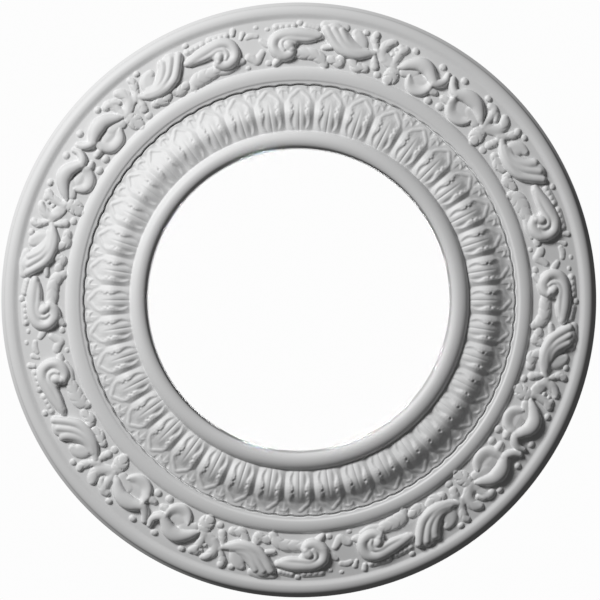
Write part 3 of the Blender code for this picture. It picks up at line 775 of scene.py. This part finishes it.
def right_half():
    """The half unit that runs the other way round, a little different, as the real one is."""
    side = -1
    return [
        # The S-scroll, the bowl under it and the lump beside them
        frieze_ridge(side, [(1.2, 0.78, 1.4, 2.2), (1.0, 0.65, 1.9, 2.7), (1.6, 0.54, 2.3, 3.2),
                            (2.7, 0.485, 2.5, 3.4), (4.0, 0.56, 2.9, 3.6), (5.5, 0.655, 3.7, 3.7),
                            (6.8, 0.68, 4.0, 3.7), (8.0, 0.655, 3.5, 3.5), (9.5, 0.57, 2.7, 3.0),
                            (10.5, 0.49, 2.0, 2.5), (11.4, 0.42, 1.2, 1.7)], **RIBBON),
        frieze_ridge(side, [(3.5, 0.41, 2.3, 2.3), (3.9, 0.29, 2.9, 2.1), (4.7, 0.21, 3.3, 2.0),
                            (6.0, 0.175, 3.6, 1.9), (7.1, 0.20, 3.2, 1.8), (7.8, 0.27, 2.6, 1.8),
                            (8.2, 0.34, 1.8, 1.7)], **BOWL_RIM),
        frieze_ridge(side, [(5.0, 0.36, 3.0, 1.0), (6.0, 0.35, 3.4, 1.0), (7.0, 0.38, 3.0, 1.0)], **PLATE),
        frieze_ridge(side, [(1.5, 0.315, 1.6, 1.6), (2.3, 0.31, 2.1, 1.8), (3.1, 0.32, 1.9, 1.8)]),
        frieze_ridge(side, [(7.6, 0.50, 2.0, 1.2), (8.8, 0.44, 3.0, 1.2), (10.2, 0.36, 2.2, 1.2)], **PLATE),
        # The palmette
        frieze_ridge(side, [(12.8, 0.43, 2.4, 1.2), (14.2, 0.46, 3.0, 1.2), (15.6, 0.53, 2.6, 1.2),
                            (17.0, 0.58, 1.9, 1.2)], **PLATE),
        frieze_ridge(side, [(12.9, 0.42, 1.9, 1.3), (12.8, 0.55, 2.2, 1.4), (12.5, 0.70, 2.3, 1.6),
                            (12.0, 0.79, 2.3, 1.7), (11.6, 0.83, 1.9, 1.6)], **CRIMPED),
        bead(side, 12.6, 0.82, 1.9, 1.4),
        bead(side, 13.4, 0.75, 1.1, 1.1),
        bead(side, 13.8, 0.63, 1.2, 1.1),
        frieze_ridge(side, [(15.4, 0.47, 2.2, 1.2), (16.1, 0.57, 2.5, 1.3), (16.1, 0.69, 2.5, 1.5),
                            (15.5, 0.79, 2.5, 1.6), (14.8, 0.86, 1.9, 1.6), (14.3, 0.88, 1.5, 1.4)],
                     **CRIMPED),
        frieze_ridge(side, [(17.3, 0.60, 1.4, 1.2), (18.0, 0.71, 1.7, 1.4), (18.6, 0.83, 2.1, 1.6),
                            (18.4, 0.91, 1.9, 1.5)], **THREE_LOBED),
        frieze_ridge(side, [(12.3, 0.38, 1.9, 1.2), (12.3, 0.29, 3.3, 1.5), (12.4, 0.18, 3.9, 1.5),
                            (12.8, 0.10, 2.8, 1.4)], **ROUND_LEAF),
        frieze_ridge(side, [(17.6, 0.46, 1.4, 1.2), (17.1, 0.34, 2.0, 1.4), (16.7, 0.26, 2.1, 1.4)],
                     **CRIMPED),
        # The acanthus wing, with a low lobe that trails beyond it
        frieze_ridge(side, [(19.2, 0.50, 1.6, 1.6), (21.2, 0.48, 2.6, 2.2), (23.4, 0.52, 4.2, 2.6),
                            (25.6, 0.65, 5.1, 2.8), (27.2, 0.78, 5.0, 2.7)], **PLATE),
        frieze_ridge(side, [(25.0, 0.91, 2.2, 1.1), (27.0, 0.93, 2.4, 1.1), (29.4, 0.91, 2.2, 1.1)]),
        frieze_ridge(side, [(20.9, 0.53, 3.0, 1.5), (21.4, 0.66, 4.2, 1.6), (22.0, 0.78, 3.2, 1.6),
                            (22.6, 0.83, 2.2, 1.4)], **CUPPED),
        frieze_ridge(side, [(17.9, 0.53, 1.6, 1.5), (19.4, 0.47, 2.3, 2.2), (21.2, 0.40, 2.6, 2.7),
                            (23.2, 0.385, 2.6, 3.0), (25.4, 0.44, 2.5, 3.1), (27.0, 0.55, 2.3, 3.1),
                            (28.3, 0.71, 2.2, 3.1), (29.0, 0.82, 2.2, 3.0)], **RIB),
        frieze_ridge(side, [(19.7, 0.53, 1.7, 1.7), (21.5, 0.47, 1.8, 2.4), (23.4, 0.48, 1.9, 2.7),
                            (25.2, 0.58, 2.0, 2.9), (26.5, 0.73, 2.0, 3.0), (27.4, 0.84, 1.9, 3.0)]),
        frieze_ridge(side, [(21.3, 0.54, 1.6, 1.7), (22.8, 0.55, 1.9, 2.3), (24.2, 0.63, 2.1, 2.7),
                            (25.2, 0.76, 2.2, 2.9), (25.7, 0.84, 2.0, 2.9)]),
        frieze_ridge(side, [(27.6, 0.46, 1.6, 1.6), (28.6, 0.44, 1.6, 1.5), (29.2, 0.43, 1.3, 1.3)]),
        # Two leaflets below the wing, and the long leaf beside them
        frieze_ridge(side, [(18.9, 0.16, 2.1, 1.4), (20.2, 0.15, 2.4, 1.5), (21.2, 0.15, 2.7, 1.5),
                            (22.3, 0.26, 2.2, 1.4)], **LEAFLET),
        frieze_ridge(side, [(24.9, 0.24, 2.2, 1.3), (25.1, 0.15, 2.6, 1.5), (26.1, 0.17, 2.2, 1.4),
                            (27.0, 0.19, 2.3, 1.4), (27.5, 0.20, 1.9, 1.3)], **LEAFLET),
        frieze_ridge(side, [(28.6, 0.08, 2.1, 1.3), (29.5, 0.19, 2.9, 1.6), (31.3, 0.27, 3.1, 1.7),
                            (33.5, 0.28, 3.0, 1.7), (35.0, 0.29, 2.7, 1.7), (36.0, 0.30, 2.2, 1.6)],
                     **LONG_LEAF),
        # The volute, with a thorn and two rows of bumps
        frieze_ridge(side, [(31.0, 0.66, 2.2, 2.2), (33.0, 0.65, 3.2, 2.5), (35.5, 0.64, 3.6, 2.6),
                            (37.6, 0.50, 4.8, 2.7), (38.1, 0.42, 4.8, 2.6)], **DISC),
        frieze_ridge(side, [(30.4, 0.67, 2.0, 2.4), (32.0, 0.69, 2.5, 2.7), (34.0, 0.71, 2.8, 3.0),
                            (37.0, 0.71, 2.8, 3.2), (39.0, 0.67, 2.8, 3.3), (40.2, 0.59, 2.8, 3.3),
                            (40.6, 0.45, 2.7, 3.3), (40.0, 0.32, 2.7, 3.3), (38.5, 0.24, 2.8, 3.2),
                            (37.0, 0.26, 2.6, 3.2), (36.2, 0.34, 2.2, 3.2)], **RIB),
        frieze_ridge(side, [(31.4, 0.60, 1.6, 1.8), (33.0, 0.57, 1.8, 2.2), (35.0, 0.58, 1.8, 2.5),
                            (37.0, 0.60, 1.6, 2.7), (38.5, 0.55, 1.5, 2.8), (38.7, 0.44, 1.4, 2.8),
                            (38.2, 0.36, 1.3, 2.8)]),
        frieze_ridge(side, [(36.5, 0.39, 2.3, 3.6), (36.9, 0.44, 2.9, 4.0), (37.2, 0.47, 2.6, 4.0)]),
        frieze_ridge(side, [(39.3, 0.20, 2.2, 2.0), (40.1, 0.13, 1.8, 1.7), (40.6, 0.09, 1.5, 1.5)]),
        *bump_row(side, 4, (31.0, 0.83), (33.3, 0.87)),
        *bump_row(side, 4, (35.9, 0.87), (39.6, 0.86)),
        # The small leaves and beads that close the unit
        frieze_ridge(side, [(41.9, 0.50, 1.6, 0.9), (42.5, 0.55, 1.7, 0.9), (43.1, 0.60, 1.3, 0.8)]),
        frieze_ridge(side, [(43.2, 0.36, 1.6, 0.9), (44.1, 0.26, 2.0, 1.0), (44.8, 0.19, 2.1, 1.0),
                            (45.6, 0.25, 1.7, 0.9)]),
        frieze_ridge(side, [(44.0, 0.72, 1.3, 0.6), (44.9, 0.74, 1.5, 0.6), (45.6, 0.75, 1.3, 0.6)]),
        bead(side, 3.0, 0.86, 1.7, 1.2),
        bead(side, 9.6, 0.885, 1.6, 1.2),
        bead(side, 1.9, 0.10, 1.9, 1.2),
        bead(side, 15.6, 0.12, 1.7, 1.0),
        bead(side, 20.6, 0.90, 1.5, 1.1),
        bead(side, 34.6, 0.93, 1.4, 0.9),
        bead(side, 42.1, 0.12, 1.5, 0.8),
        bead(side, 41.5, 0.83, 1.0, 0.6),
        bead(side, 43.8, 0.90, 1.0, 0.5),
    ]


UNIT = left_half() + right_half()
UNIT_TURN = math.tau / FRIEZE_UNITS
ORNAMENT = [ridge.turned(turn * UNIT_TURN) for turn in (-1, 0, 1) for ridge in UNIT]


def frieze_height(radius, angle):
    """Height of one unit of the frieze, with the ends of the units beside it."""
    return section(radius) + raised(ORNAMENT, radius * np.cos(angle), radius * np.sin(angle))


frieze_rows = np.concatenate([
    [MIDDLE_CREST[0], MIDDLE_CREST[0] + FIRST_ROW],
    np.linspace(MIDDLE_CREST[0] + 0.6, FRIEZE[0] - 0.6, 8),
    np.linspace(FRIEZE[0] - 0.2, FRIEZE_END[0] + 0.6, 88),
    np.linspace(FRIEZE_END[0] + 1.2, OUTER_CREST[0] - 0.6, 3),
    [OUTER_CREST[0] - FIRST_ROW, OUTER_CREST[0]],
])
frieze_columns = spread(-UNIT_TURN / 2, UNIT_TURN / 2, FRIEZE_COLUMNS)
frieze_mesh = carved_band("frieze_unit", frieze_rows, frieze_columns, frieze_height, FRIEZE_SEAT)
for number in range(FRIEZE_UNITS):
    name = f"frieze_{number + 1}"
    mesh = frieze_mesh.copy()
    mesh.name = name
    turn = math.radians(FIRST_UNIT_BEARING) + number * UNIT_TURN
    mesh.transform(Matrix.Rotation(turn, 4, "Z"))
    finish_piece(name, mesh)
bpy.data.meshes.remove(frieze_mesh)
